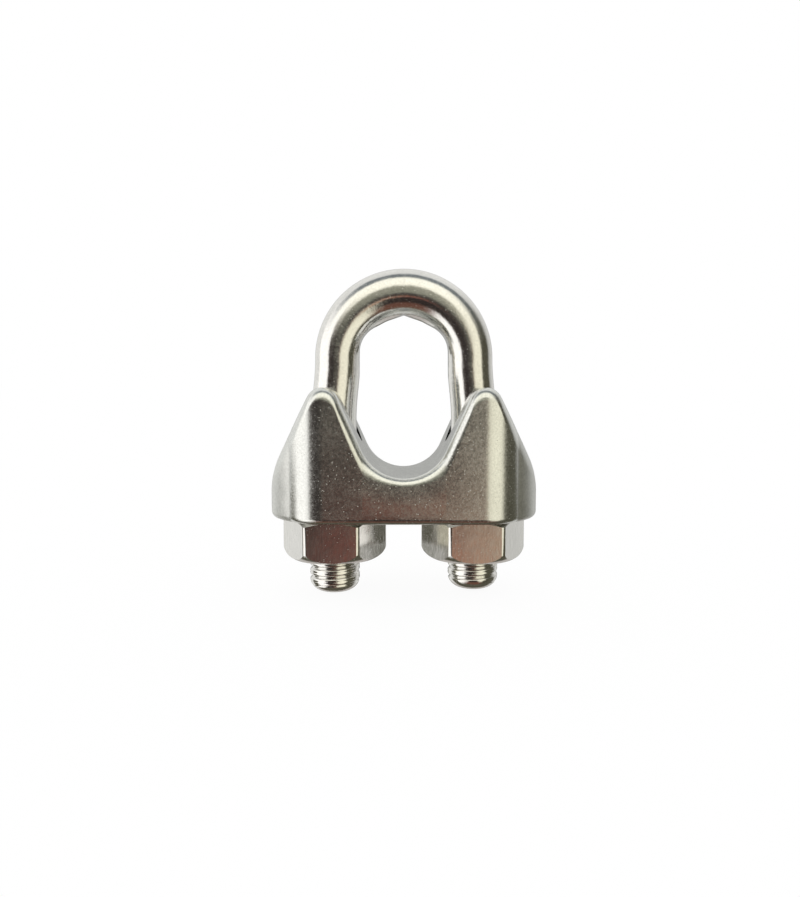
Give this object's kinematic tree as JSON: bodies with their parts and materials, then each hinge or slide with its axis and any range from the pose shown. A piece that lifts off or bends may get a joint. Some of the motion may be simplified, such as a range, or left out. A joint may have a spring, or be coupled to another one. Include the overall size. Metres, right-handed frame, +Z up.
{
  "type": "wire rope clip",
  "caption": "U-bolt wire rope clip: a threaded U-bolt passes through a horned saddle and is drawn down on the rope by hexagon nuts.",
  "frame": {"origin": "centre of the saddle's flat underside, midway between the two legs", "axes": "+Z up through the saddle towards the U-bolt's bend, X from leg to leg, Y along the rope"},
  "size_m": [0.0206, 0.01, 0.0247],
  "materials": {
    "u_bolt_steel": "polished stainless steel rod with rolled threads",
    "saddle_steel": "cast stainless steel, tumbled and polished, with fine pits and scratches",
    "nut_steel": "bright stainless steel with a fine drawn grain"
  },
  "bodies": {
    "saddle": {"saddle": "saddle_steel"},
    "u_bolt": {"u_bolt": "u_bolt_steel"},
    "nut_left": {"nut_left": "nut_steel"},
    "nut_right": {"nut_right": "nut_steel"}
  },
  "joints": [
    {"name": "nut_left_spin", "type": "hinge", "parent": "saddle", "child": "nut_left", "pos_m": [-0.00536, 0, 0], "axis": [0, 0, 1], "range_deg": [-2340, 2880]},
    {"name": "nut_right_spin", "type": "hinge", "parent": "saddle", "child": "nut_right", "pos_m": [0.00536, 0, 0], "axis": [0, 0, 1], "range_deg": [-2340, 2880]},
    {"name": "u_bolt_slide", "type": "slide", "parent": "saddle", "child": "u_bolt", "axis": [0, 0, 1], "range_m": [-0.0056, 0.00455]}
  ],
  "couplings": [
    {"joint": "nut_left_spin", "follows": "u_bolt_slide", "rad_per_m": -8976},
    {"joint": "nut_right_spin", "follows": "u_bolt_slide", "rad_per_m": -8976}
  ]
}
